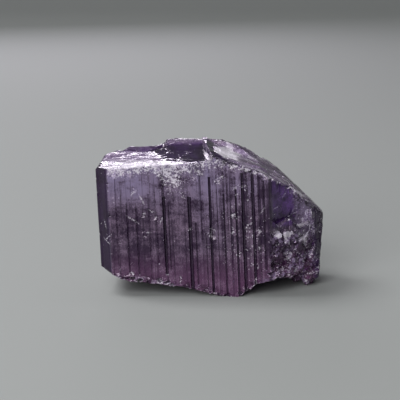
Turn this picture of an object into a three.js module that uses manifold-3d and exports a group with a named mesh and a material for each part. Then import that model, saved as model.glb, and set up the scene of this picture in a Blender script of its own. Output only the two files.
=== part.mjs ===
// A violet scapolite crystal, in millimetres, +Z up, origin under the middle of its outline.
// It is one grown piece: a stubby eight-sided prism that stands with its length axis upright,
// striated along that axis, with a low stepped and sloping top and a broken foot.
// X runs along the broad striated face, and +Y runs from that face to the back.
import * as THREE from "three";
import { ConvexGeometry } from "three/addons/geometries/ConvexGeometry.js";
import { mergeVertices } from "three/addons/utils/BufferGeometryUtils.js";
import Module from "manifold-3d";

const wasm = await Module();
wasm.setup();

// Driving dimensions
const HALF_WIDTH = 21; // half of the crystal's width along X
const DEPTH = 18.6; // from the broad face to the back
const HEIGHT = 26.5; // from the foot to the top of the hump at the back
const MID_HEIGHT = 13.5; // the level at which the cross-section below is drawn
const LEAN = 0.045; // how far the length axis leans to -X for each mm of height
const LEFT_END = 0.45 - HALF_WIDTH; // the cross-section is drawn from a line 0.45 off centre
const RIGHT_END = 0.45 + HALF_WIDTH;
const BROAD_LEFT = new THREE.Vector2(-18.3, 0.9); // the broad face's left edge
const BROAD_RIGHT = new THREE.Vector2(10.9, 0.1); // the broad face's right edge
const FINEST = 0.012; // the smallest detail kept
const STOCK_LOW = -6; // the uncut prism runs well past both ends
const STOCK_HIGH = 34;
const THROUGH = -5; // the foot of a stria that runs out at the lower end

// The rest of the cross-section, anticlockwise seen from above, from the broad face's right
// edge: the far end of each side, its number of striae and how deep they are
const SIDES = [
  { to: [13.7, 2.8], striae: 2, deep: 0.24 },
  { to: [18.9, 7.4], striae: 3, deep: 0.18 },
  { to: [RIGHT_END - 0.1, 10.8], striae: 2, deep: 0.12 },
  { to: [RIGHT_END - 0.4, 14.2], striae: 2, deep: 0.14 },
  { to: [17.0, 18.0], striae: 4, deep: 0.22 },
  { to: [3.2, DEPTH], striae: 8, deep: 0.3 },
  { to: [-5.4, DEPTH - 0.5], striae: 5, deep: 0.26 },
  { to: [-15.4, DEPTH - 0.9], striae: 7, deep: 0.3 },
  { to: [-19.3, 13.6], striae: 4, deep: 0.2 },
  { to: [LEFT_END + 0.1, 3.4], striae: 6, deep: 0.18 },
  { to: [BROAD_LEFT.x, BROAD_LEFT.y], striae: 2, deep: 0.1 },
];

// The broad face's ledges: where one flat panel ends along X, and how far in the next one lies
const LEDGES = [
  [-15.0, 0.06],
  [-11.0, 0.0],
  [-8.2, 0.12],
  [-3.6, 0.03],
  [0.2, 0.14],
  [3.8, 0.04],
  [6.2, 0.16],
  [8.0, 0.08],
];
// The broad face's striae: place along X, width, depth, foot and head
const STRIAE = [
  [-16.9, 0.22, 0.09, 5, 22],
  [-15.0, 0.3, 0.14, 4.5, 17.4],
  [-13.3, 0.34, 0.17, 4, 16.5],
  [-11.0, 0.3, 0.14, THROUGH, 19.2],
  [-9.6, 0.2, 0.08, 6, 15],
  [-8.2, 0.62, 0.5, 4.1, 18.7],
  [-7.45, 0.28, 0.2, 5, 17.2],
  [-5.7, 0.2, 0.08, 3, 12.5],
  [-3.6, 0.72, 0.55, THROUGH, 18.7],
  [-2.55, 0.26, 0.18, 2.2, 14],
  [-1.5, 0.3, 0.16, 10.7, 22.8],
  [-0.75, 0.24, 0.14, 1.7, 12],
  [0.2, 0.5, 0.32, THROUGH, 22.4],
  [1.45, 0.28, 0.15, THROUGH, 22.8],
  [2.7, 0.44, 0.26, THROUGH, 19.4],
  [3.8, 0.26, 0.13, 3, 23.6],
  [4.9, 0.42, 0.24, THROUGH, 20.2],
  [6.2, 0.7, 0.46, THROUGH, 23.2],
  [7.15, 0.24, 0.14, 9, 21],
  [8.0, 0.7, 0.46, THROUGH, STOCK_HIGH],
  [9.1, 0.28, 0.14, 2, 22.8],
  [10.0, 0.34, 0.2, 5, 21.9],
];
const FLANK = 0.3; // the share of a stria's width that each of its flanks takes

// Repeatable random numbers, so that the crystal is the same each time
function dice(seed) {
  let state = seed;
  return () => {
    state = (state + 0x6d2b79f5) | 0;
    let t = Math.imul(state ^ (state >>> 15), 1 | state);
    t = (t + Math.imul(t ^ (t >>> 7), 61 | t)) ^ t;
    return ((t ^ (t >>> 14)) >>> 0) / 4294967296;
  };
}
const between = (roll, low, high) => low + (high - low) * roll();
const lerp = THREE.MathUtils.lerp;

// A closed three.js geometry as a solid that can be joined and cut. Corners closer than
// finest are made one
function solidOf(geometry, finest = 1e-4) {
  const bare = new THREE.BufferGeometry();
  bare.setAttribute("position", geometry.getAttribute("position").clone());
  if (geometry.index) bare.setIndex(geometry.index.clone());
  const merged = mergeVertices(bare, finest);
  return new wasm.Manifold(
    new wasm.Mesh({
      numProp: 3,
      vertProperties: merged.attributes.position.array,
      triVerts: new Uint32Array(merged.index.array),
    }),
  );
}

// A solid as a three.js geometry
function geometryOf(solid) {
  const { numProp, numVert, vertProperties, triVerts } = solid.getMesh();
  const positions = new Float32Array(numVert * 3);
  for (let i = 0; i < numVert; i++)
    positions.set(vertProperties.subarray(i * numProp, i * numProp + 3), i * 3);
  const geometry = new THREE.BufferGeometry();
  geometry.setAttribute("position", new THREE.BufferAttribute(positions, 3));
  geometry.setIndex(new THREE.BufferAttribute(triVerts, 1));
  return geometry;
}

// Keeps what lies under the plane z = level + alongX * x + alongY * y
function under(solid, level, alongX, alongY) {
  const length = Math.hypot(alongX, alongY, 1);
  const normal = [alongX / length, alongY / length, -1 / length];
  return solid.trimByPlane(normal, -level / length);
}

// Keeps what lies over such a plane
function over(solid, level, alongX, alongY) {
  const length = Math.hypot(alongX, alongY, 1);
  const normal = [-alongX / length, -alongY / length, 1 / length];
  return solid.trimByPlane(normal, level / length);
}

// Takes off what lies outside a plane through a point, given the way the new facet faces
function facet(solid, point, facing) {
  const out = new THREE.Vector3(...facing).normalize();
  const reach = out.dot(new THREE.Vector3(...point));
  return solid.trimByPlane([-out.x, -out.y, -out.z], -reach);
}

// An upright column of the given outline that leans with the crystal's length axis
function column(outline, low, high) {
  const geometry = new THREE.ExtrudeGeometry(new THREE.Shape(outline), {
    depth: high - low,
    bevelEnabled: false,
  });
  geometry.translate(0, 0, low - MID_HEIGHT);
  geometry.applyMatrix4(new THREE.Matrix4().makeShear(0, 0, 0, 0, -LEAN, 0));
  geometry.translate(0, 0, MID_HEIGHT);
  return solidOf(geometry);
}

// A lump, or the hollow that a break leaves: the hull of points spread over an ellipsoid
function shard(roll, centre, radii, corners) {
  const points = [];
  for (let i = 0; i < corners; i++) {
    const up = 1 - (2 * (i + 0.5)) / corners;
    const turn = i * 2.39996 + between(roll, -0.4, 0.4);
    const ring = Math.sqrt(1 - up * up);
    const swell = between(roll, 0.76, 1.12);
    points.push(
      new THREE.Vector3(
        centre[0] + Math.cos(turn) * ring * radii[0] * swell,
        centre[1] + Math.sin(turn) * ring * radii[1] * swell,
        centre[2] + up * radii[2] * swell,
      ),
    );
  }
  return solidOf(new ConvexGeometry(points));
}

// The cross-section at mid-height, with the ledges of the broad face and the striae of the
// other sides
function crossSection() {
  const roll = dice(11);
  const points = [BROAD_LEFT.clone()];
  let level = 0;
  const broadAt = (x) => {
    const share = (x - BROAD_LEFT.x) / (BROAD_RIGHT.x - BROAD_LEFT.x);
    return lerp(BROAD_LEFT.y, BROAD_RIGHT.y, share);
  };
  for (const [x, inset] of LEDGES) {
    points.push(new THREE.Vector2(x - 0.05, broadAt(x) + level));
    points.push(new THREE.Vector2(x + 0.05, broadAt(x) + inset));
    level = inset;
  }
  let from = BROAD_RIGHT.clone();
  for (const side of SIDES) {
    const to = new THREE.Vector2(...side.to);
    const along = to.clone().sub(from).normalize();
    const inward = new THREE.Vector2(-along.y, along.x);
    const pitch = to.distanceTo(from) / side.striae;
    const place = (distance, depth) => {
      const point = from.clone().addScaledVector(along, distance);
      points.push(point.addScaledVector(inward, depth));
    };
    place(0, 0);
    for (let i = 0; i < side.striae; i++) {
      const middle = (i + 0.5 + between(roll, -0.22, 0.22)) * pitch;
      const width = between(roll, 0.22, 0.5) * Math.min(1, pitch);
      const depth = between(roll, 0.35, 1) * side.deep;
      const level = between(roll, 0, 0.08);
      place(middle - width / 2, level);
      place(middle - width * (0.5 - FLANK), level + depth);
      place(middle + width * (0.5 - FLANK), level + depth);
      place(middle + width / 2, between(roll, 0, 0.08));
    }
    from = to;
  }
  return points;
}

// The prism, with the striae of its broad face cut in, each over its own length
function prism() {
  let body = column(crossSection(), STOCK_LOW, STOCK_HIGH);
  for (const [x, width, depth, foot, head] of STRIAE) {
    const share = (x - BROAD_LEFT.x) / (BROAD_RIGHT.x - BROAD_LEFT.x);
    const face = lerp(BROAD_LEFT.y, BROAD_RIGHT.y, share) + 0.06;
    const flank = width * FLANK;
    const groove = [
      new THREE.Vector2(x - width / 2 - flank, face - depth),
      new THREE.Vector2(x + width / 2 + flank, face - depth),
      new THREE.Vector2(x + width / 2 - flank, face + depth),
      new THREE.Vector2(x - width / 2 + flank, face + depth),
    ];
    body = body.subtract(column(groove, foot, head));
  }
  return body;
}

// A block far larger than the crystal, from which the shapes of its two ends are cut
const block = solidOf(new THREE.BoxGeometry(4 * HALF_WIDTH, 4 * HALF_WIDTH, 4 * HALF_WIDTH));

// The top: a near-level terrace at the left, a smooth hollow that rises from it towards the
// back along a diagonal, a hump behind the hollow, a low rim behind the terrace, a lip along
// the broad face, and slopes that steepen towards +X
function topped(body) {
  const terrace = under(block, 23.9, 0.005, 0.035);
  const lip = under(block, 25.5, 0.085, -0.34);
  let hollow = under(block, 23.06, 0.02, 0.17);
  hollow = under(hollow, 25.85, 0.35, 0.149);
  let hump = under(block, 27.8, -0.04, -0.09);
  hump = under(hump, 14.0, 0.05, 0.74);
  hump = under(hump, 38.5, 1.5, 0);
  const rim = under(under(block, 14, -0.02, 0.62), 27.6, 0.04, -0.12);
  let slopes = under(block, 26.15, -0.345, 0.01);
  slopes = facet(slopes, [0.6, 0.4, 25.9], [-0.8, -0.1, 0.32]);
  let top = terrace.add(lip).add(hollow).add(rim).add(slopes);
  top = under(top, 26.15, -0.345, 0.01).add(under(hump, 26.9, -0.3, 0));
  top = under(top, HEIGHT, 0, 0);
  top = under(top, 28.6, -0.6, 0);
  top = under(top, 33.3, -0.9, -0.05);
  top = facet(top, [-20.1, 7, 24], [-0.8, 0.05, 0.6]);
  top = facet(top, [-18.2, 14.8, 24.2], [-0.62, 0.62, 0.5]);
  return body.intersect(top);
}

// The foot: a flat spot that widens to the back, between broken slopes that rise to the broad
// face's two lower corners. Each slope is level, rise along X and rise along Y
const LEFT_SLOPES = [
  [0.77, -0.225, -0.19],
  [1.31, -0.12, -0.2],
];
const RIGHT_SLOPES = [
  [-3.6, 0.7, -0.2],
  [0.75, 0.2, -0.2],
];
function footed(body) {
  let foot = over(block, 0, 0, 0);
  for (const [first, second] of [LEFT_SLOPES, RIGHT_SLOPES])
    foot = over(foot, ...first).add(over(foot, ...second));
  foot = facet(foot, [-19.5, 3, 4.8], [-0.5, -0.1, -0.86]);
  foot = facet(foot, [-18.4, 14, 2.6], [-0.5, 0.5, -0.7]);
  return body.intersect(foot);
}

// A point of the right end, given its X, how deep it lies under the surface and its height
const RIGHT_SLANT = 0.91; // how far the right end's surface runs back for each mm of X
function rightPoint(x, depth, z) {
  const across = Math.hypot(1, RIGHT_SLANT);
  return new THREE.Vector3(
    x - (depth * RIGHT_SLANT) / across,
    BROAD_RIGHT.y + (x - BROAD_RIGHT.x) * RIGHT_SLANT + depth / across,
    z,
  );
}

// The floors of the two smooth scars high on the right end: X, depth and height of each corner
const SCAR_FLOORS = [
  [
    [11.1, 0.02, 21.6],
    [15.9, 0.05, 18.7],
    [11.3, 0.6, 14.4],
    [12.9, 1.2, 12.9],
    [15.5, 1.15, 14.3],
    [13.9, 0.85, 17.2],
  ],
  [
    [14.4, 0.2, 18.4],
    [18.0, 0.05, 16.2],
    [14.9, 1.25, 14.0],
    [16.8, 1.3, 12.1],
    [18.7, 0.5, 12.7],
    [18.6, 0.2, 14.9],
  ],
];
const LEDGE_SLOPE = 0.9; // how far the ledge under the scars falls towards its edge

// The right end: two smooth scars that end below in a ledge, broken ground under the ledge,
// the plate that stands proud of it, and the lump at its foot
function rightEnd(body) {
  const roll = dice(29);
  let end = body;
  for (const floor of SCAR_FLOORS) {
    const scar = [];
    for (const [x, depth, z] of floor) {
      scar.push(rightPoint(x, depth, z));
      scar.push(rightPoint(x, -4, z < 15 ? z - LEDGE_SLOPE : z + LEDGE_SLOPE));
    }
    end = end.subtract(solidOf(new ConvexGeometry(scar)));
  }
  end = end.add(shard(roll, [16.8, 11, 2.6], [2.2, 3.0, 2.8], 18));
  end = end.add(shard(roll, [19.0, 9.8, 3.2], [2.2, 3.2, 3.6], 22));
  for (let i = 0; i < 36; i++) {
    const x = between(roll, 11.2, 20.6);
    const size = between(roll, 1.0, 2.3);
    const z = between(roll, 1.2, 11.4);
    const out = size * between(roll, 0.3, 0.62);
    const centre = rightPoint(x, -out, z).toArray();
    const radii = [size, size * 0.8, size * between(roll, 0.55, 1)];
    end = end.subtract(shard(roll, centre, radii, 12));
  }
  for (let i = 0; i < 20; i++) {
    const x = between(roll, 11.6, 19.6);
    const size = between(roll, 0.5, 1.1);
    const centre = rightPoint(x, 0.3 * size, between(roll, 1.6, 12.6)).toArray();
    end = end.add(shard(roll, centre, [size, size * 0.8, size * 0.8], 8));
  }
  end = facet(end, [RIGHT_END - 0.15, 11, 12], [1, -0.05, -0.06]);
  return end.add(shard(roll, [20.4, 12, 7.6], [0.75, 2.2, 2.2], 16));
}

// Larger breaks that roughen the slopes of the foot
function footBreaks(body) {
  const roll = dice(71);
  let worn = body;
  for (let i = 0; i < 16; i++) {
    const x = lerp(-17.5, 13, (i + roll()) / 16);
    const y = between(roll, 1, 12);
    const surface = x < 4 ? 0.77 - 0.225 * x - 0.19 * y : 0.75 + 0.2 * x - 0.2 * y;
    const size = between(roll, 1.2, 2.6);
    const centre = [x, y, surface - size * 0.55];
    worn = worn.subtract(shard(roll, centre, [size * 1.3, size, size * 0.8], 12));
  }
  return worn;
}

// Small breaks along the edges: start and end of each edge, how many, and how large
const EDGE_BREAKS = [
  [[-18.9, 0.9, 24.2], [-8.5, 0.6, 24.5], 8, 0.42],
  [[-8.5, 0.6, 24.9], [1, 0.4, 25.6], 8, 0.5],
  [[1, 0.3, 25.8], [10.4, 0.3, 22.7], 9, 0.5],
  [[11.2, 0.8, 22], [17.4, 6.4, 18], 6, 0.55],
  [[-17.6, 0.9, 3.9], [-6, 0.6, 2.2], 8, 0.55],
  [[-6, 0.6, 2.0], [3.6, 0.4, 0.2], 7, 0.5],
  [[5.4, 0.3, 0.4], [12.4, 1.6, 3], 8, 0.7],
  [[-18.8, 0.95, 23.4], [-18, 0.95, 5], 5, 0.28],
  [[-20.9, 3.4, 22.8], [-20.1, 3.4, 6], 5, 0.32],
  [[-15.8, 17.7, 24.6], [1, 18.4, 26.2], 9, 0.6],
  [[2, 18.5, 25.3], [16, 17.9, 18.6], 7, 0.6],
  [[-19.8, 13.5, 23.2], [-19, 13.5, 4], 5, 0.35],
  [[-11, 16, 25.3], [0, 2.2, 24.8], 7, 0.45],
  [[-12, 18, 0.2], [13, 18.3, 0.2], 9, 0.6],
];
function edgeBreaks(body) {
  const roll = dice(53);
  let worn = body;
  for (const [from, to, count, size] of EDGE_BREAKS)
    for (let i = 0; i < count; i++) {
      const share = (i + between(roll, 0.1, 0.9)) / count;
      const centre = from.map((low, k) => lerp(low, to[k], share) + between(roll, -0.2, 0.2));
      const radius = size * between(roll, 0.55, 1.5);
      const radii = [radius * between(roll, 0.9, 1.8), radius, radius * between(roll, 0.6, 1.1)];
      worn = worn.subtract(shard(roll, centre, radii, 8));
    }
  return worn;
}

// The largest piece of a solid: chips that the breaks leave loose have fallen away
function largest(solid) {
  return solid.decompose().sort((a, b) => b.volume() - a.volume())[0];
}

// The crystal as one solid, with its origin under the middle of its outline
function crystalSolid() {
  let whole = edgeBreaks(footBreaks(rightEnd(footed(topped(prism())))));
  whole = over(whole, 0, 0, 0); // nothing reaches below the flat spot
  whole = largest(whole).simplify(FINEST);
  whole = largest(solidOf(geometryOf(whole), FINEST / 4));
  const { min, max } = whole.boundingBox();
  return whole.translate([-(min[0] + max[0]) / 2, -(min[1] + max[1]) / 2, -min[2]]);
}

const violet = new THREE.MeshStandardMaterial({
  color: 0x3b2c48,
  roughness: 0.18,
  metalness: 0,
  flatShading: true,
});
const crystal = new THREE.Mesh(geometryOf(crystalSolid()), violet);
crystal.name = "scapolite_crystal";

const part = new THREE.Group();
part.name = "scapolite";
part.add(crystal);
export default part;
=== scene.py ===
import math

import bmesh
import bpy
import numpy as np
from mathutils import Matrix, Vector


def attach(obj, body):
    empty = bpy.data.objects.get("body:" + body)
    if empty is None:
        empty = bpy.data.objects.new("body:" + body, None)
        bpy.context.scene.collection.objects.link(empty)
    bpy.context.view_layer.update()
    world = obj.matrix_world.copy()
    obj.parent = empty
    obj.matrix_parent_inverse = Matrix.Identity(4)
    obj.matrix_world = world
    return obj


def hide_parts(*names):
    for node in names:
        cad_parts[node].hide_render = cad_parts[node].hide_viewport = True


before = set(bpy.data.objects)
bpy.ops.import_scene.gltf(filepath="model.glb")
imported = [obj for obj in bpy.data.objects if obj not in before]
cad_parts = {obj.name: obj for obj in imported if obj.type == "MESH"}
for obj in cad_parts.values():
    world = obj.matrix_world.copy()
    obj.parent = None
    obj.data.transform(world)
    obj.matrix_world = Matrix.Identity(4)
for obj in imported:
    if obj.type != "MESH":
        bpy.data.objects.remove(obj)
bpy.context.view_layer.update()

# The crystal: one grown piece of violet scapolite, broken off its matrix at the foot and at the
# right end. Its faces are striated along the length axis, hazed by etching, and bruised white
# where it has been knocked. It rests on a small flat spot.
MM = 0.001
LEAN = 0.045  # how far the length axis leans left for each mm of height
MESH_PITCH = 0.4  # the spacing, in mm, of the mesh that carries the fine relief
UP = (0, 0, 1)
BACK = (0, 1, 0)
ACROSS = (1, 0, LEAN)
WELD = 1e-7
FLAT_WITHIN = math.radians(0.3)

# the solid's own faces, cut into small triangles with every crease kept
crystal_mesh = bpy.data.meshes.new("crystal")
work = bmesh.new()
work.from_mesh(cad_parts["scapolite_crystal"].data)
bmesh.ops.remove_doubles(work, verts=work.verts, dist=WELD)
bmesh.ops.dissolve_limit(work, angle_limit=FLAT_WITHIN, verts=work.verts, edges=work.edges)


def slice_up(normal, start, stop, chosen=None):
    """Cuts the mesh, or the faces chosen by their middles, along planes one pitch apart."""
    facing = Vector(normal)
    for level in np.arange(start, stop, MESH_PITCH):
        parts = work.faces[:] + work.edges[:] + work.verts[:]
        if chosen:
            faces = [f for f in work.faces if chosen(f.calc_center_median() / MM)]
            edges = {e for f in faces for e in f.edges}
            parts = faces + list(edges) + list({v for e in edges for v in e.verts})
        spot = facing * (level * MM / facing.length_squared)
        bmesh.ops.bisect_plane(work, geom=parts, dist=1e-6, plane_co=spot, plane_no=facing)


def at_broken_end(middle):
    """Whether a face lies on the crumbled right end, which gets a mesh twice as fine."""
    return middle.x > 9.5 and middle.y < 3.5 and middle.z < 14


slice_up(UP, 0.35, 26.4)
slice_up(ACROSS, -20.9, 21.3)
slice_up(BACK, -9.0, 9.0)
slice_up(UP, 0.55, 14, at_broken_end)
slice_up(ACROSS, 10.2, 21.3, at_broken_end)
bmesh.ops.triangulate(work, faces=[f for f in work.faces if len(f.verts) > 3])

# faces that lie back to back on the same three corners enclose nothing, and go
work.verts.index_update()
twins = {}
for face in work.faces:
    twins.setdefault(frozenset(v.index for v in face.verts), []).append(face)
fins = [face for pair in twins.values() if len(pair) > 1 for face in pair]
bmesh.ops.delete(work, geom=fins, context="FACES")
work.normal_update()
work.verts.index_update()


def ramp(value, low, high):
    """0 below low, 1 above high, and a smooth step between."""
    t = np.clip((value - low) / (high - low), 0, 1)
    return t * t * (3 - 2 * t)


def fall(value, low, high):
    """1 below low, 0 above high, and a smooth step between."""
    return ramp(-value, -high, -low)


# each point's place, in mm from the cross-section's own zero, which is at the broad face
DRAWN_FROM = np.array([0.22, 9.35, 0.0])
MID_HEIGHT = 13.5
BROAD_LEFT = (-18.3, 0.9)  # the broad face's left and right edges at mid-height: X and Y
BROAD_RIGHT = (10.9, 0.1)
place = np.array([v.co for v in work.verts]) / MM + DRAWN_FROM
normal = np.array([v.normal for v in work.verts])
x, y, z = place.T
straight = x + LEAN * (z - MID_HEIGHT)  # X with the lean taken out
along_broad = (straight - BROAD_LEFT[0]) / (BROAD_RIGHT[0] - BROAD_LEFT[0])
broad_y = BROAD_LEFT[1] + (BROAD_RIGHT[1] - BROAD_LEFT[1]) * along_broad
inset = y - broad_y  # how far a point lies behind the broad face
on_broad = ramp(straight, -18.6, -18.2) * fall(straight, 10.8, 11.2) * (inset < 1.2)
top_side = ramp(normal[:, 2], 0.35, 0.6)
upward = ramp(normal[:, 2], 0.62, 0.7)

# where it is broken, and how much: the right end, the shoulder over its clear scar, and the foot
END_RUN = 0.91  # how far the right end's face runs back for each mm to the right
end_y = BROAD_RIGHT[1] + (straight - BROAD_RIGHT[0]) * END_RUN
right_side = fall(y - end_y, 2.5, 4.5)
shoulder = ramp(straight, 14.4, 15.8) * ramp(z, 9.0, 11.0) * right_side * (normal[:, 2] < 0.6)
broken_end = ramp(straight, 10.2, 11.8) * fall(z, 11.0, 13.0) * right_side


def slant(level, along_x, along_y):
    """The height of a slanting plane at each point."""
    return level + along_x * x + along_y * y


left_foot = np.minimum(slant(0.77, -0.225, -0.19), slant(1.31, -0.12, -0.2))
right_foot = np.minimum(slant(-3.6, 0.7, -0.2), slant(0.75, 0.2, -0.2))
on_foot = fall(z - np.maximum(left_foot, right_foot), 0.4, 1.4)
crumbs = np.clip(broken_end + 0.35 * on_foot * ramp(z, 0.15, 0.7) + 0.45 * shoulder, 0, 1)
crumbs = crumbs * (1 - 0.8 * ramp(straight, 18.8, 19.8))


def lattice(cells, seed):
    """A number from 0 to 1 for each whole-numbered cell."""
    cell_x, cell_y, cell_z = (cells[..., k].astype(np.uint32) for k in range(3))
    mixed = cell_x * np.uint32(374761393) + cell_y * np.uint32(668265263)
    mixed = mixed + cell_z * np.uint32(2147483647)
    mixed = mixed + np.uint32(seed * 974634777 % 4294967296)
    mixed = (mixed ^ (mixed >> np.uint32(13))) * np.uint32(1274126177)
    mixed = (mixed ^ (mixed >> np.uint32(16))) * np.uint32(2246822519)
    return (mixed ^ (mixed >> np.uint32(15))) / 4294967295.0


def smooth_noise(points, seed):
    """Value noise from -1 to 1 with a cell of one."""
    cell = np.floor(points).astype(np.int64)
    part = points - cell
    part = part * part * (3 - 2 * part)
    total = np.zeros(len(points))
    for corner in np.ndindex(2, 2, 2):
        share = np.prod(np.where(corner, part, 1 - part), axis=1)
        total += share * lattice(cell + np.array(corner), seed)
    return 2 * total - 1


def rough_noise(points, seed, octaves=3):
    """Several sizes of value noise added up."""
    total = np.zeros(len(points))
    for k in range(octaves):
        total += smooth_noise(points * 2.1**k + 17.3 * k, seed + k) / 2**k
    return total / (2 - 0.5 ** (octaves - 1))


def broken_noise(points, seed):
    """Broken ground: each point's height on the tilted plane of the nearest scattered centre."""
    cell = np.floor(points).astype(np.int64)
    nearest = np.full(len(points), 9.0)
    height = np.zeros(len(points))
    for neighbour in np.ndindex(3, 3, 3):
        near = cell + np.array(neighbour) - 1
        centre = near + np.stack([lattice(near, seed + k) for k in range(3)], axis=1)
        away = points - centre
        distance = np.linalg.norm(away, axis=1)
        on_plane = away @ np.array([0.3, 0.2, 0.9]) * 0.8 + lattice(near, seed + 5) * 0.8
        closer = distance < nearest
        nearest = np.where(closer, distance, nearest)
        height = np.where(closer, on_plane, height)
    return height


# the fine relief, in mm: broken ground, faint waves on the sides, and hair-fine striae along them
WAVE_DEPTH = 0.05
HAIR_DEPTH = 0.035
ground = broken_noise(place / 2.3, 3) * 0.62 + broken_noise(place / 1.0, 9) * 0.2 - 0.35
waves = WAVE_DEPTH * rough_noise(place * (0.5, 0.5, 0.12), 21) * (1 - top_side)
hairs = rough_noise(np.stack([straight * 2.6, y * 2.6, z * 0.05], axis=1), 41, 2)
hairs = HAIR_DEPTH * hairs * (1 - top_side) * (1 - crumbs)
shift = normal * (ground * crumbs + waves + hairs)[:, None]

# the top's own relief: swells, low broken steps, and a dish in its smooth hollow
SWELL_DEPTH = 0.2
STREAK_DEPTH = 0.16
STEP_DEPTH = 0.3
DISH_DEPTH = 0.22
DISH = (-5.2, 11.2)  # the middle of the dish: X and Y
calm = ramp(x + 0.33 * y, -6.8, -5.4) * fall(x, 0.3, 0.9) * ramp(y, 5.6, 6.6) * fall(y, 15.8, 16.6)
terrace = fall(x, -6.0, -4.0) * fall(y, 6.0, 9.0)
swell = SWELL_DEPTH * rough_noise(place * (0.22, 0.3, 0.3), 31)
streaky = STREAK_DEPTH * rough_noise(place * (0.32, 1.3, 0.6), 61) * (1 - 0.4 * terrace)
steps = STEP_DEPTH * (broken_noise(place * (0.28, 0.9, 0.3), 67) - 0.35) * (1 - 0.6 * terrace)
dish = DISH_DEPTH * np.exp(-(((x - DISH[0]) / 2.6) ** 2) - ((y - DISH[1]) / 3.4) ** 2)
rise = (swell + streaky) * (1 - 0.9 * calm) + steps * (1 - 0.85 * calm) - dish
shift[:, 2] += rise * top_side
shift *= ramp(z, 0.05, 0.5)[:, None]  # the flat spot at the foot stays flat
carved = place + shift

# the bruised band under the broad face's top edge, and the wedge that hangs from it
left_edge = 24.2 + 0.09 * (straight + 12)  # the edge climbs gently up to the crest
right_edge = 26.2 - 0.345 * straight  # and falls away to its right
under_edge = np.where(straight < 0.6, left_edge, right_edge) - z
band_width = 2.0 + 1.3 * rough_noise(place * (0.3, 0, 0), 51)
band_width = band_width + 1.8 * fall(np.abs(straight + 4.5), 3.0, 7.0)
band = on_broad * ramp(-under_edge, -band_width, -0.2 * band_width)
band = band * (0.35 + 0.65 * fall(straight, 2.0, 7.0))
wedge = fall(np.abs(straight + 6.3 + 0.25 * (z - 20)), 0.4, 2.8) * ramp(z, 17.0, 21.0) * on_broad
chipped = fall(np.abs(under_edge - 0.1), 0.15, 0.4) * (inset < 3) * (x > 0)

# knocks on the broad face: X, height and radius
KNOCKS = [
    (-13.6, 19.4, 0.8), (-11.9, 15.4, 0.7), (-10.0, 15.1, 0.7), (-12.0, 11.6, 0.5), (-4.4, 18.8, 0.6),
    (-3.7, 12.6, 0.7), (0.2, 12.0, 1.5), (-0.6, 9.6, 0.6), (1.6, 21.6, 1.2), (2.6, 22.4, 1.0),
    (6.4, 20.6, 0.9), (4.3, 15.6, 1.0), (6.7, 12.9, 1.0), (4.9, 8.0, 1.0), (8.8, 12.6, 0.9),
    (9.0, 9.4, 0.8), (-9.6, 2.9, 0.9), (-14.8, 4.0, 0.8), (-5.9, 3.2, 0.7), (7.9, 2.2, 1.0),
]
knocks = np.zeros(len(place))
for knock_x, knock_z, size in KNOCKS:
    away = np.hypot(straight - knock_x, z - knock_z)
    knocks = np.maximum(knocks, on_broad * fall(away, 0.3 * size, size))

# rows of white pits that follow a stria: X, lowest and highest
PIT_ROWS = [
    (2.7, 6, 16), (4.0, 5, 17), (4.9, 8, 21), (6.3, 4, 14), (7.3, 6, 19), (8.1, 3, 12), (9.4, 5, 15),
]
pits = np.zeros(len(place))
for pit_x, low_z, high_z in PIT_ROWS:
    along = ramp(z, low_z - 1, low_z + 1) * fall(z, high_z - 1, high_z + 1)
    pits = np.maximum(pits, on_broad * along * fall(np.abs(straight - pit_x), 0.25, 0.75))

# the top: a frosted crest with a painted glint, a chipped sliver with a painted highlight, terraces
# and slopes lightened by painted light and painted highlight streaks, and a clear hollow with a tail
# to its right, a flank and a rim behind, all four in painted shade
mottled = rough_noise(carved * (0.8, 0.5, 0.8), 77)
from_crest = np.hypot((x - 3.2) / 3.2, (y - 9.5) / 6.0)
frosted_crest_glint = upward * ramp(0.5 * mottled - from_crest, -1.0, -0.5) * ramp(x, 0.5, 1.3)
chipped_sliver_highlight = ramp(0.9 * mottled - np.abs(y - 3.2 - 2.4 * (x - 14.7)), -1.8, -0.9)
chipped_sliver_highlight = chipped_sliver_highlight * upward * ramp(x, 13.8, 14.8) * fall(x, 17.4, 18.6)
slope = np.maximum(upward, top_side) * ramp(x, 5.0, 8.0)
inside_left = ramp(x, -20.2, -19.7)
# streaks of painted highlight on the terraces and slopes
highlight_streaks = np.clip(0.5 + 1.6 * rough_noise(place * (0.3, 1.1, 0.3), 91), 0, 1)
slope_highlight_streaks = rough_noise(np.stack([x * 0.16, (y + 0.25 * x) * 1.5, z * 0.16], axis=1), 97)
slope_highlight_streaks = 0.48 * slope * ramp(slope_highlight_streaks, 0.0, 0.35) * fall(x, 16.0, 20.0)
# the flank, rim and tail below are regions in painted shade
shaded_flank = ramp(x, -2.4, -1.6) * fall(x, 0.6, 1.2) * ramp(z, 23.2, 23.8)
shaded_flank = shaded_flank * ramp(y, 3.8, 5.0) * fall(y, 14.0, 15.0)
shaded_back_rim = ramp(y, 15.1, 15.7) * fall(x, -8.5, -7.5) * (z > 23.6)
tail_back = 1.8 + 6.6 * np.exp(-(x - 0.6) / 1.8)
shaded_tail = upward * ramp(tail_back - y, -0.3, 0.5) * ramp(x, -0.2, 0.4) * fall(x, 5.0, 7.0)
# painted highlight: near white on the terrace's front, joined by the crest's painted glint, the
# sliver's painted highlight and the slopes' highlight streaks
lip = upward * fall(y, 5.0, 9.5) * fall(x, -8.0, -3.0) * (1 - calm) * (0.48 + 0.4 * highlight_streaks)
lip = lip * inside_left * (0.6 + 0.4 * ramp(x, -17.5, -13.5))
lip = np.maximum.reduce([lip, chipped_sliver_highlight, slope_highlight_streaks, frosted_crest_glint]) * (1 - shaded_tail)
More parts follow.
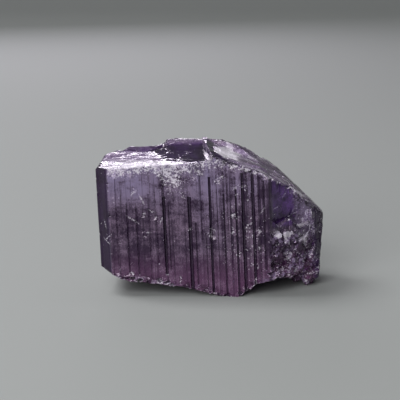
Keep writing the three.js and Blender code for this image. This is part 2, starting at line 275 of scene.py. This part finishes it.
# painted light: the upward faces of the terraces and slopes are made paler
painted_top_light = np.where(x > 1, 0.25 + 0.75 * highlight_streaks, 0.8 + 0.2 * highlight_streaks) * inside_left
painted_top_light = painted_top_light * np.maximum(upward, slope)
painted_top_light = painted_top_light * (1 - 0.45 * ramp(x, 5.0, 13.0)) * (1 - 0.5 * ramp(y, 15.0, 16.5))

# the ledge and ridge of the broken end, where white glints are painted, and the clear scar over them
ledge = fall(np.hypot((x - 14.0) / 3.0, (z - 11.8) / 1.7), 0.5, 1.0)
ridge = fall(np.abs(z - 11.5 + 1.3 * (x - 16.5)), 0.8, 2.2) * ramp(x, 15.0, 16.5) * fall(x, 18.4, 19.0)
# where the painted glints gather: the ledge and the ridge
glinting = broken_end * np.maximum(ledge, 0.75 * ridge)
scar = ramp(straight, 11.0, 11.8) * fall(straight, 14.8, 16.2) * ramp(z, 12.2, 13.6)
scar = scar * (1 - upward) * right_side

# the worn rims: sharp edges that don't run along the length axis
SHARP = math.radians(32)
rims = np.zeros(len(place))
for edge in work.edges:
    run = edge.verts[0].co - edge.verts[1].co
    if abs(run.z) < 0.85 * run.length and edge.calc_face_angle(0) > SHARP:
        rims[[edge.verts[0].index, edge.verts[1].index]] = 1
rims = rims * (1 - on_broad) * np.where((np.abs(x) < 2.2) & (z > 23.5), 0, 1)

# how much frost, painted highlight, clear stone, painted shade and veil each point shows
flecks = calm * upward * ramp(rough_noise(carved * (1.1, 0.5, 1.0), 79), 0.25, 0.5)
# real frost, with painted highlight from the crest, the sliver and the lit top
frost_and_highlight = 0.95 * band + 0.85 * wedge + 0.12 * broken_end + 0.3 * on_foot + 0.55 * chipped
frost_and_highlight = frost_and_highlight + 0.7 * knocks + 0.95 * frosted_crest_glint + 0.9 * chipped_sliver_highlight + 0.28 * painted_top_light * (1 - calm)
frost_and_highlight = frost_and_highlight + 0.5 * rims + 0.3 * shoulder + 0.55 * flecks
frost_and_highlight = np.clip(frost_and_highlight * (1 - 0.8 * np.clip(shaded_tail + shaded_flank + shaded_back_rim, 0, 1)), 0, 1)
hollow = upward * calm
left_strip = fall(straight, -18.6, -18.3) * np.maximum(1 - upward, fall(x, -20.2, -19.7))
far_right = ramp(straight, 18.8, 19.8) * (1 - upward)
clean = hollow + shaded_flank + 0.7 * shaded_back_rim + left_strip + scar + 0.95 * far_right + shaded_tail
# painted shade: the hollow, its flank, rim and tail, the left strip and the far right are made dark
painted_shade = 0.85 * (hollow + shaded_flank) + 0.5 * shaded_back_rim + left_strip + 0.9 * far_right + 0.7 * shaded_tail
veil = on_broad * ramp(z, 13.0, 23.0) * (0.55 + 0.45 * fall(straight, -14.0, -6.0))
veil = veil + 0.2 * on_broad * fall(np.abs(straight), 1.5, 4.0) * ramp(z, 6.0, 12.0)
veil = np.clip(veil * (1 + 0.6 * rough_noise(carved * (0.4, 0.4, 0.3), 81)), 0, 1)
MASKS = {
    "frost_and_highlight": frost_and_highlight,
    "grooved": on_broad * ramp(inset, 0.1, 0.34),
    "lined": on_broad * (1 - 0.7 * band),
    "clean": np.clip(clean, 0, 1),
    "painted_shade": np.clip(painted_shade, 0, 1),
    "veil": np.maximum.reduce([veil, 0.75 * shoulder, 0.9 * band]),
    # painted light on the upward faces
    "top": painted_top_light,
    "lip": lip,
    "crumbs": crumbs,
    "glinting": glinting,
    "pits": pits,
    # painted rosy light, stronger towards the bottom
    "painted_rosy_light": fall(z, 1.5, 10.0),
    "rightward": ramp(straight, -4.0, 3.0),
}

# the carved mesh, smooth but for its creases, with the masks on its points
CREASE = math.radians(24)
for vertex, spot in zip(work.verts, carved):
    vertex.co = Vector((spot - DRAWN_FROM) * MM)
work.normal_update()
for edge in work.edges:
    edge.smooth = edge.calc_face_angle(0) < CREASE
for face in work.faces:
    face.smooth = True
work.to_mesh(crystal_mesh)
work.free()
for name, values in MASKS.items():
    crystal_mesh.attributes.new(name, "FLOAT", "POINT").data.foreach_set("value", values)
crystal = bpy.data.objects.new("crystal", crystal_mesh)
bpy.context.scene.collection.objects.link(crystal)

# the stone: see-through violet, with haze, bruises, grooves and broken facets in its colour, roughness
# and height, and painted highlights, glints, shade and rosy light in its colour
violet = bpy.data.materials.new("violet scapolite")
violet.use_nodes = True
tree = violet.node_tree
tree.nodes.clear()


def node(kind, **settings):
    made = tree.nodes.new(kind)
    for key, value in settings.items():
        setattr(made, key, value)
    return made


def link(a, b):
    tree.links.new(a, b)


def maths(operation, a, b, clamp=False):
    made = node("ShaderNodeMath", operation=operation, use_clamp=clamp)
    for socket, value in zip(made.inputs, (a, b)):
        if isinstance(value, (int, float)):
            socket.default_value = value
        else:
            link(value, socket)
    return made.outputs[0]


def plus(a, b, clamp=False):
    return maths("ADD", a, b, clamp)


def minus(a, b, clamp=False):
    return maths("SUBTRACT", a, b, clamp)


def times(a, b, clamp=False):
    return maths("MULTIPLY", a, b, clamp)


def larger(a, b):
    return maths("MAXIMUM", a, b)


def past(value, level, gain):
    """How far a value is past a level, scaled and held between 0 and 1."""
    return times(minus(value, level), gain, clamp=True)


def less(value, mask, share=1.0):
    """A value with a share of it taken away where a mask is 1."""
    return times(value, minus(1.0, times(mask, share)))


def mix(factor, below, over):
    """One colour laid over another by a factor. A mix node's colours are inputs 6 and 7."""
    made = node("ShaderNodeMix", data_type="RGBA")
    link(factor, made.inputs[0])
    for index, value in ((6, below), (7, over)):
        if isinstance(value, tuple):
            made.inputs[index].default_value = (*value, 1)
        else:
            link(value, made.inputs[index])
    return made.outputs[2]


coordinates = node("ShaderNodeTexCoord").outputs["Object"]
straighten = node("ShaderNodeMapping")
straighten.inputs["Rotation"].default_value = (0, math.atan(LEAN), 0)
link(coordinates, straighten.inputs["Vector"])
upright = straighten.outputs[0]


def noise(scale, detail, roughness=0.6, stretch=(1, 1, 1)):
    """Noise in upright coordinates, with cells of 1/scale metre before the stretch."""
    mapping = node("ShaderNodeMapping")
    mapping.inputs["Scale"].default_value = stretch
    link(upright, mapping.inputs["Vector"])
    made = node("ShaderNodeTexNoise")
    made.inputs["Scale"].default_value = scale
    made.inputs["Detail"].default_value = detail
    made.inputs["Roughness"].default_value = roughness
    link(mapping.outputs[0], made.inputs["Vector"])
    return made.outputs["Fac"]


def facets(scale, offset):
    """Angular broken facets: a random tone for each, and the height of its own tilted plane."""
    shifted = node("ShaderNodeVectorMath", operation="ADD")
    link(upright, shifted.inputs[0])
    shifted.inputs[1].default_value = (offset, offset, offset)
    cells = node("ShaderNodeTexVoronoi")
    cells.inputs["Scale"].default_value = scale
    link(shifted.outputs[0], cells.inputs["Vector"])
    within = node("ShaderNodeVectorMath", operation="SUBTRACT")
    link(shifted.outputs[0], within.inputs[0])
    link(cells.outputs["Position"], within.inputs[1])
    tilt = node("ShaderNodeVectorMath", operation="SUBTRACT")
    link(cells.outputs["Color"], tilt.inputs[0])
    tilt.inputs[1].default_value = (0.5, 0.5, 0.5)
    on_plane = node("ShaderNodeVectorMath", operation="DOT_PRODUCT")
    link(within.outputs[0], on_plane.inputs[0])
    link(tilt.outputs[0], on_plane.inputs[1])
    split = node("ShaderNodeSeparateColor")
    link(cells.outputs["Color"], split.inputs[0])
    return split.outputs[1], on_plane.outputs["Value"]


mask = {name: node("ShaderNodeAttribute", attribute_name=name).outputs["Fac"] for name in MASKS}
slab_tone, slab_rise = facets(310, 0.1)
block_tone, block_rise = facets(620, 0.3)
grit_tone, grit_rise = facets(1700, 0.7)
speck_tone = facets(4000, 0.9)[0]
coarse = noise(1150, 3, 0.7)
fine = noise(3600, 3, 0.75)
mottle = noise(420, 7, 0.75)
streaks = noise(1900, 5, 0.65, stretch=(1, 1, 0.03))
bands = noise(700, 4, 0.65, stretch=(0.25, 0.25, 1))

# grooves: uneven along their length, with hair-fine lines between them
uneven = plus(0.25, times(noise(420, 3, stretch=(1, 1, 0.12)), 1.3), clamp=True)
hair_lines = minus(0.4, noise(2600, 2, 0.5, stretch=(1, 1, 0.012)))
hair_lines = times(times(hair_lines, 12.0, clamp=True), times(mask["lined"], 0.6))
groove = larger(times(mask["grooved"], uneven), hair_lines)

# bruises and painted glints: white where noise and specks together pass what the frost and painted
# highlight leave, painted glints on the broken facets, and pits along the striae
bruise_noise = plus(times(coarse, 0.45), times(fine, 0.37))
bruise_noise = plus(bruise_noise, times(speck_tone, 0.13))
bruise_and_glint = past(plus(mask["frost_and_highlight"], times(minus(bruise_noise, 0.475), 6.0)), 0.85, 3.0)
# painted glints on the broken facets
painted_glints = plus(block_tone, times(grit_tone, 0.35))
painted_glints = plus(painted_glints, times(mask["glinting"], 0.4))
painted_glints = past(plus(painted_glints, times(speck_tone, 0.35)), 1.29, 6.0)
bruise_and_glint = larger(bruise_and_glint, times(painted_glints, mask["crumbs"]))
pitted = past(plus(speck_tone, times(coarse, 0.5)), 1.16, 8.0)
bruise_and_glint = larger(bruise_and_glint, times(pitted, times(mask["pits"], 0.8)))

# scratches on the broad face: middle, slant in degrees, length and width
SCRATCHES = [
    ((-14.1, 14.4), 33, 3.4, 0.42), ((-12.4, 18.1), 62, 2.6, 0.4), ((-10.6, 16.0), 20, 1.7, 0.5),
    ((-18.6, 11.0), -48, 2.6, 0.3), ((-18.9, 10.2), 40, 2.2, 0.3), ((-19.2, 13.4), 75, 2.0, 0.3),
    ((-11.2, 12.0), 5, 1.2, 0.4), ((-8.9, 14.3), -70, 1.6, 0.4), ((9.6, 16.4), -55, 1.5, 0.4),
    ((13.6, 18.6), -60, 2.0, 0.34), ((12.2, 16.4), -15, 1.8, 0.3), ((15.2, 15.0), -70, 2.6, 0.4),
    ((16.8, 14.0), 25, 2.2, 0.4), ((17.6, 12.8), -40, 1.8, 0.4),
]
REACH = 6  # how deep a scratch's mask goes, front to back, in mm


def scratch(middle, slant_angle, length, width):
    """A flecked white scratch, as a mask in the shape of a long thin ellipsoid."""
    mapping = node("ShaderNodeMapping", vector_type="TEXTURE")
    centre = Vector((middle[0] - DRAWN_FROM[0], -DRAWN_FROM[1] + 0.5, middle[1])) * MM
    mapping.inputs["Location"].default_value = centre
    mapping.inputs["Rotation"].default_value = (0, math.radians(slant_angle), 0)
    mapping.inputs["Scale"].default_value = (length * MM / 2, REACH * MM, width * MM / 2)
    link(coordinates, mapping.inputs["Vector"])
    away = node("ShaderNodeVectorMath", operation="LENGTH")
    link(mapping.outputs[0], away.inputs[0])
    inside = times(minus(1.0, away.outputs["Value"]), 2.0, clamp=True)
    return times(inside, times(past(fine, 0.44, 7.0), 0.75))


for middle, slant_angle, length, width in SCRATCHES:
    bruise_and_glint = larger(bruise_and_glint, scratch(middle, slant_angle, length, width))
bruise_and_glint = less(bruise_and_glint, groove, 0.75)

# haze: streaks along the length axis, stronger to the right, faint bands across it, and a mottle
streak_share = plus(0.4, times(mask["rightward"], 0.9))
haze = plus(times(minus(streaks, 0.5), streak_share), minus(mottle, 0.5))
haze = plus(haze, times(minus(bands, 0.5), 0.5))
haze = plus(haze, times(minus(fine, 0.5), 0.45))
haze = plus(0.26, times(haze, 3.3))
haze = plus(haze, times(mask["veil"], 0.6), clamp=True)
haze = less(less(less(haze, groove), mask["clean"], 0.85), mask["crumbs"], 0.6)

DEEP_STONE, HAZED_STONE = (0.028, 0.011, 0.04), (0.25, 0.172, 0.268)
# painted rosy light near the foot
PAINTED_ROSY_LIGHT_COLOUR = (0.27, 0.1, 0.24)
BLUISH_VEIL = (0.34, 0.29, 0.5)
PALE_CRUMB = (0.5, 0.38, 0.64)
CLEAR_STONE, CLEAR_FLAW = (0.03, 0.008, 0.07), (0.17, 0.075, 0.33)
# painted shade
PAINTED_SHADE_COLOUR = (0.014, 0.004, 0.022)
GROOVE_DARK = (0.012, 0.003, 0.02)
# painted light on the top
PAINTED_TOP_LIGHT_COLOUR = (0.5, 0.38, 0.62)
# painted highlight
PAINTED_HIGHLIGHT_WHITE = (0.95, 0.9, 1.0)
# white bruises and painted glints
BRUISE_AND_GLINT_WHITE = (0.9, 0.84, 0.95)
colour = mix(haze, DEEP_STONE, HAZED_STONE)
# painted rosy light towards the bottom
colour = mix(times(mask["painted_rosy_light"], 0.42), colour, PAINTED_ROSY_LIGHT_COLOUR)
colour = mix(times(mask["veil"], times(haze, 0.75)), colour, BLUISH_VEIL)
crumb_tone = plus(times(block_tone, 0.6), times(grit_tone, 0.35))
crumb_tone = past(plus(crumb_tone, times(slab_tone, 0.25)), 0.62, 2.4)
colour = mix(times(crumb_tone, mask["crumbs"]), colour, PALE_CRUMB)
clear_colour = mix(past(mottle, 0.42, 6.0), CLEAR_STONE, CLEAR_FLAW)
colour = mix(times(mask["clean"], 0.85), colour, clear_colour)
# painted shade
colour = mix(times(mask["painted_shade"], 0.9), colour, PAINTED_SHADE_COLOUR)
colour = mix(times(groove, 0.9), colour, GROOVE_DARK)
# painted light on the upward faces, where the stone isn't clear
painted_top_light_share = less(mask["top"], mask["clean"])
colour = mix(times(painted_top_light_share, 0.6), colour, PAINTED_TOP_LIGHT_COLOUR)
# painted highlight in near white
colour = mix(mask["lip"], colour, PAINTED_HIGHLIGHT_WHITE)
# white bruises and painted glints
colour = mix(bruise_and_glint, colour, BRUISE_AND_GLINT_WHITE)

rough = plus(0.11, times(haze, 0.16))
rough = minus(rough, times(mask["clean"], 0.05))
rough = plus(rough, times(bruise_and_glint, 0.42))
rough = plus(rough, times(mask["lip"], 0.14))
rough = plus(rough, times(past(mottle, 0.42, 2.0), times(painted_top_light_share, 0.3)))

# the height, in metres: fine grain, less of it on clear stone, and the facets of broken ground
GRAIN_HEIGHT = 0.00007
grain = plus(times(streaks, 0.6), times(noise(1800, 5), 0.5))
grain = plus(grain, times(bruise_noise, times(mask["frost_and_highlight"], 1.4)))
grain = less(times(grain, GRAIN_HEIGHT), mask["clean"], 0.75)
gritty = minus(1.5, times(slab_tone, 2.0), clamp=True)
broken = plus(times(block_rise, 1.1), times(grit_rise, gritty))
broken = plus(broken, times(slab_rise, 1.1))
broken = times(broken, plus(mask["crumbs"], times(mask["frost_and_highlight"], 0.5), clamp=True))
bump = node("ShaderNodeBump")
bump.inputs["Strength"].default_value = 0.6
bump.inputs["Distance"].default_value = 1.0
link(plus(grain, broken), bump.inputs["Height"])

shader = node("ShaderNodeBsdfPrincipled")
shader.inputs["IOR"].default_value = 1.55
shader.inputs["Transmission Weight"].default_value = 0.5
shader.inputs["Specular Tint"].default_value = (0.92, 0.8, 0.94, 1)
link(colour, shader.inputs["Base Color"])
link(rough, shader.inputs["Roughness"])
link(bump.outputs[0], shader.inputs["Normal"])
absorption = node("ShaderNodeVolumeAbsorption")
absorption.inputs["Color"].default_value = (0.36, 0.14, 0.46, 1)
absorption.inputs["Density"].default_value = 240
output = node("ShaderNodeOutputMaterial")
link(shader.outputs[0], output.inputs["Surface"])
link(absorption.outputs[0], output.inputs["Volume"])
crystal_mesh.materials.append(violet)

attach(crystal, "root")
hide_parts("scapolite_crystal")

# The studio: a pale card that lies flat under the object and sweeps up behind it as a wall. It
# isn't part of the object.
CARD_FRONT = -1.2
CARD_FLAT_TO = 0.55
SWEEP_RADIUS = 0.3
SWEEP_PARTS = 16
CARD_TOP = 1.6
CARD_HALF_WIDTH = 1.6
CARD_GREY = (0.232, 0.241, 0.238, 1)
profile = [(CARD_FRONT, 0.0), (CARD_FLAT_TO, 0.0)]
for part in range(1, SWEEP_PARTS + 1):
    turn = math.pi / 2 * part / SWEEP_PARTS
    back = CARD_FLAT_TO + SWEEP_RADIUS * math.sin(turn)
    profile.append((back, SWEEP_RADIUS * (1 - math.cos(turn))))
profile.append((CARD_FLAT_TO + SWEEP_RADIUS, CARD_TOP))
corners = [(side * CARD_HALF_WIDTH, back, up) for back, up in profile for side in (-1, 1)]
faces = [(2 * i, 2 * i + 1, 2 * i + 3, 2 * i + 2) for i in range(len(profile) - 1)]
sweep_mesh = bpy.data.meshes.new("studio")
sweep_mesh.from_pydata(corners, [], faces)
for face in sweep_mesh.polygons:
    face.use_smooth = True
studio = bpy.data.objects.new("studio", sweep_mesh)
bpy.context.scene.collection.objects.link(studio)
card = bpy.data.materials.new("card")
card.use_nodes = True
card_shader = card.node_tree.nodes["Principled BSDF"]
card_shader.inputs["Base Color"].default_value = CARD_GREY
card_shader.inputs["Roughness"].default_value = 0.9
sweep_mesh.materials.append(card)

# The light: a dim cool room, one low lamp behind that lights the top terrace, a high lamp to the
# left, a large one in front, and one for the wall.
world = bpy.data.worlds.new("room")
bpy.context.scene.world = world
world.use_nodes = True
room = world.node_tree.nodes["Background"]
room.inputs["Color"].default_value = (0.9, 0.95, 1.0, 1)
room.inputs["Strength"].default_value = 0.07


def softbox(name, spot, aim, size, power, tint=(1, 1, 1)):
    """A rectangular lamp, in watts, that faces a point and that the camera doesn't see."""
    lamp = bpy.data.lights.new(name, "AREA")
    lamp.shape = "RECTANGLE"
    lamp.size, lamp.size_y = size
    lamp.energy = power
    lamp.color = tint
    holder = bpy.data.objects.new(name, lamp)
    holder.location = spot
    facing = Vector(aim) - Vector(spot)
    holder.rotation_euler = facing.to_track_quat("-Z", "Y").to_euler()
    holder.visible_camera = False
    bpy.context.scene.collection.objects.link(holder)


CENTRE = (0, 0, 0.013)
softbox("back light", (-0.11, 0.42, 0.145), CENTRE, (0.28, 0.05), 0.42, (1.0, 0.93, 1.04))
softbox("top light", (-0.3, 0.05, 0.5), CENTRE, (0.3, 0.3), 2.9)
softbox("front light", (-0.25, -0.6, 0.35), CENTRE, (0.5, 0.5), 6.5)
softbox("wall light", (-0.1, 0.2, 0.8), (-0.1, 0.85, 0.1), (1.2, 0.4), 1.55)

# The camera: about 30 cm away and 12 degrees up, on a long lens, as for a close portrait.
ELEVATION = math.radians(12)
DISTANCE = 0.3
FOCAL = 1629.0 / 400  # the focal length in widths of the picture
SENSOR = 36
AIM = (-2.06, -5.35, MID_HEIGHT)  # the point it looks at, in mm, before it is raised
RAISED = 3.83
look = Vector((0, math.cos(ELEVATION), -math.sin(ELEVATION)))
picture_up = Vector((0, math.sin(ELEVATION), math.cos(ELEVATION)))
camera_data = bpy.data.cameras.new("camera")
camera_data.lens = SENSOR * FOCAL
camera_data.clip_start = 0.01
camera = bpy.data.objects.new("camera", camera_data)
camera.location = Vector(AIM) * MM + picture_up * RAISED * MM - look * DISTANCE
camera.rotation_euler = look.to_track_quat("-Z", "Y").to_euler()
bpy.context.scene.collection.objects.link(camera)
bpy.context.scene.camera = camera
bpy.context.scene.view_settings.view_transform = "Standard"
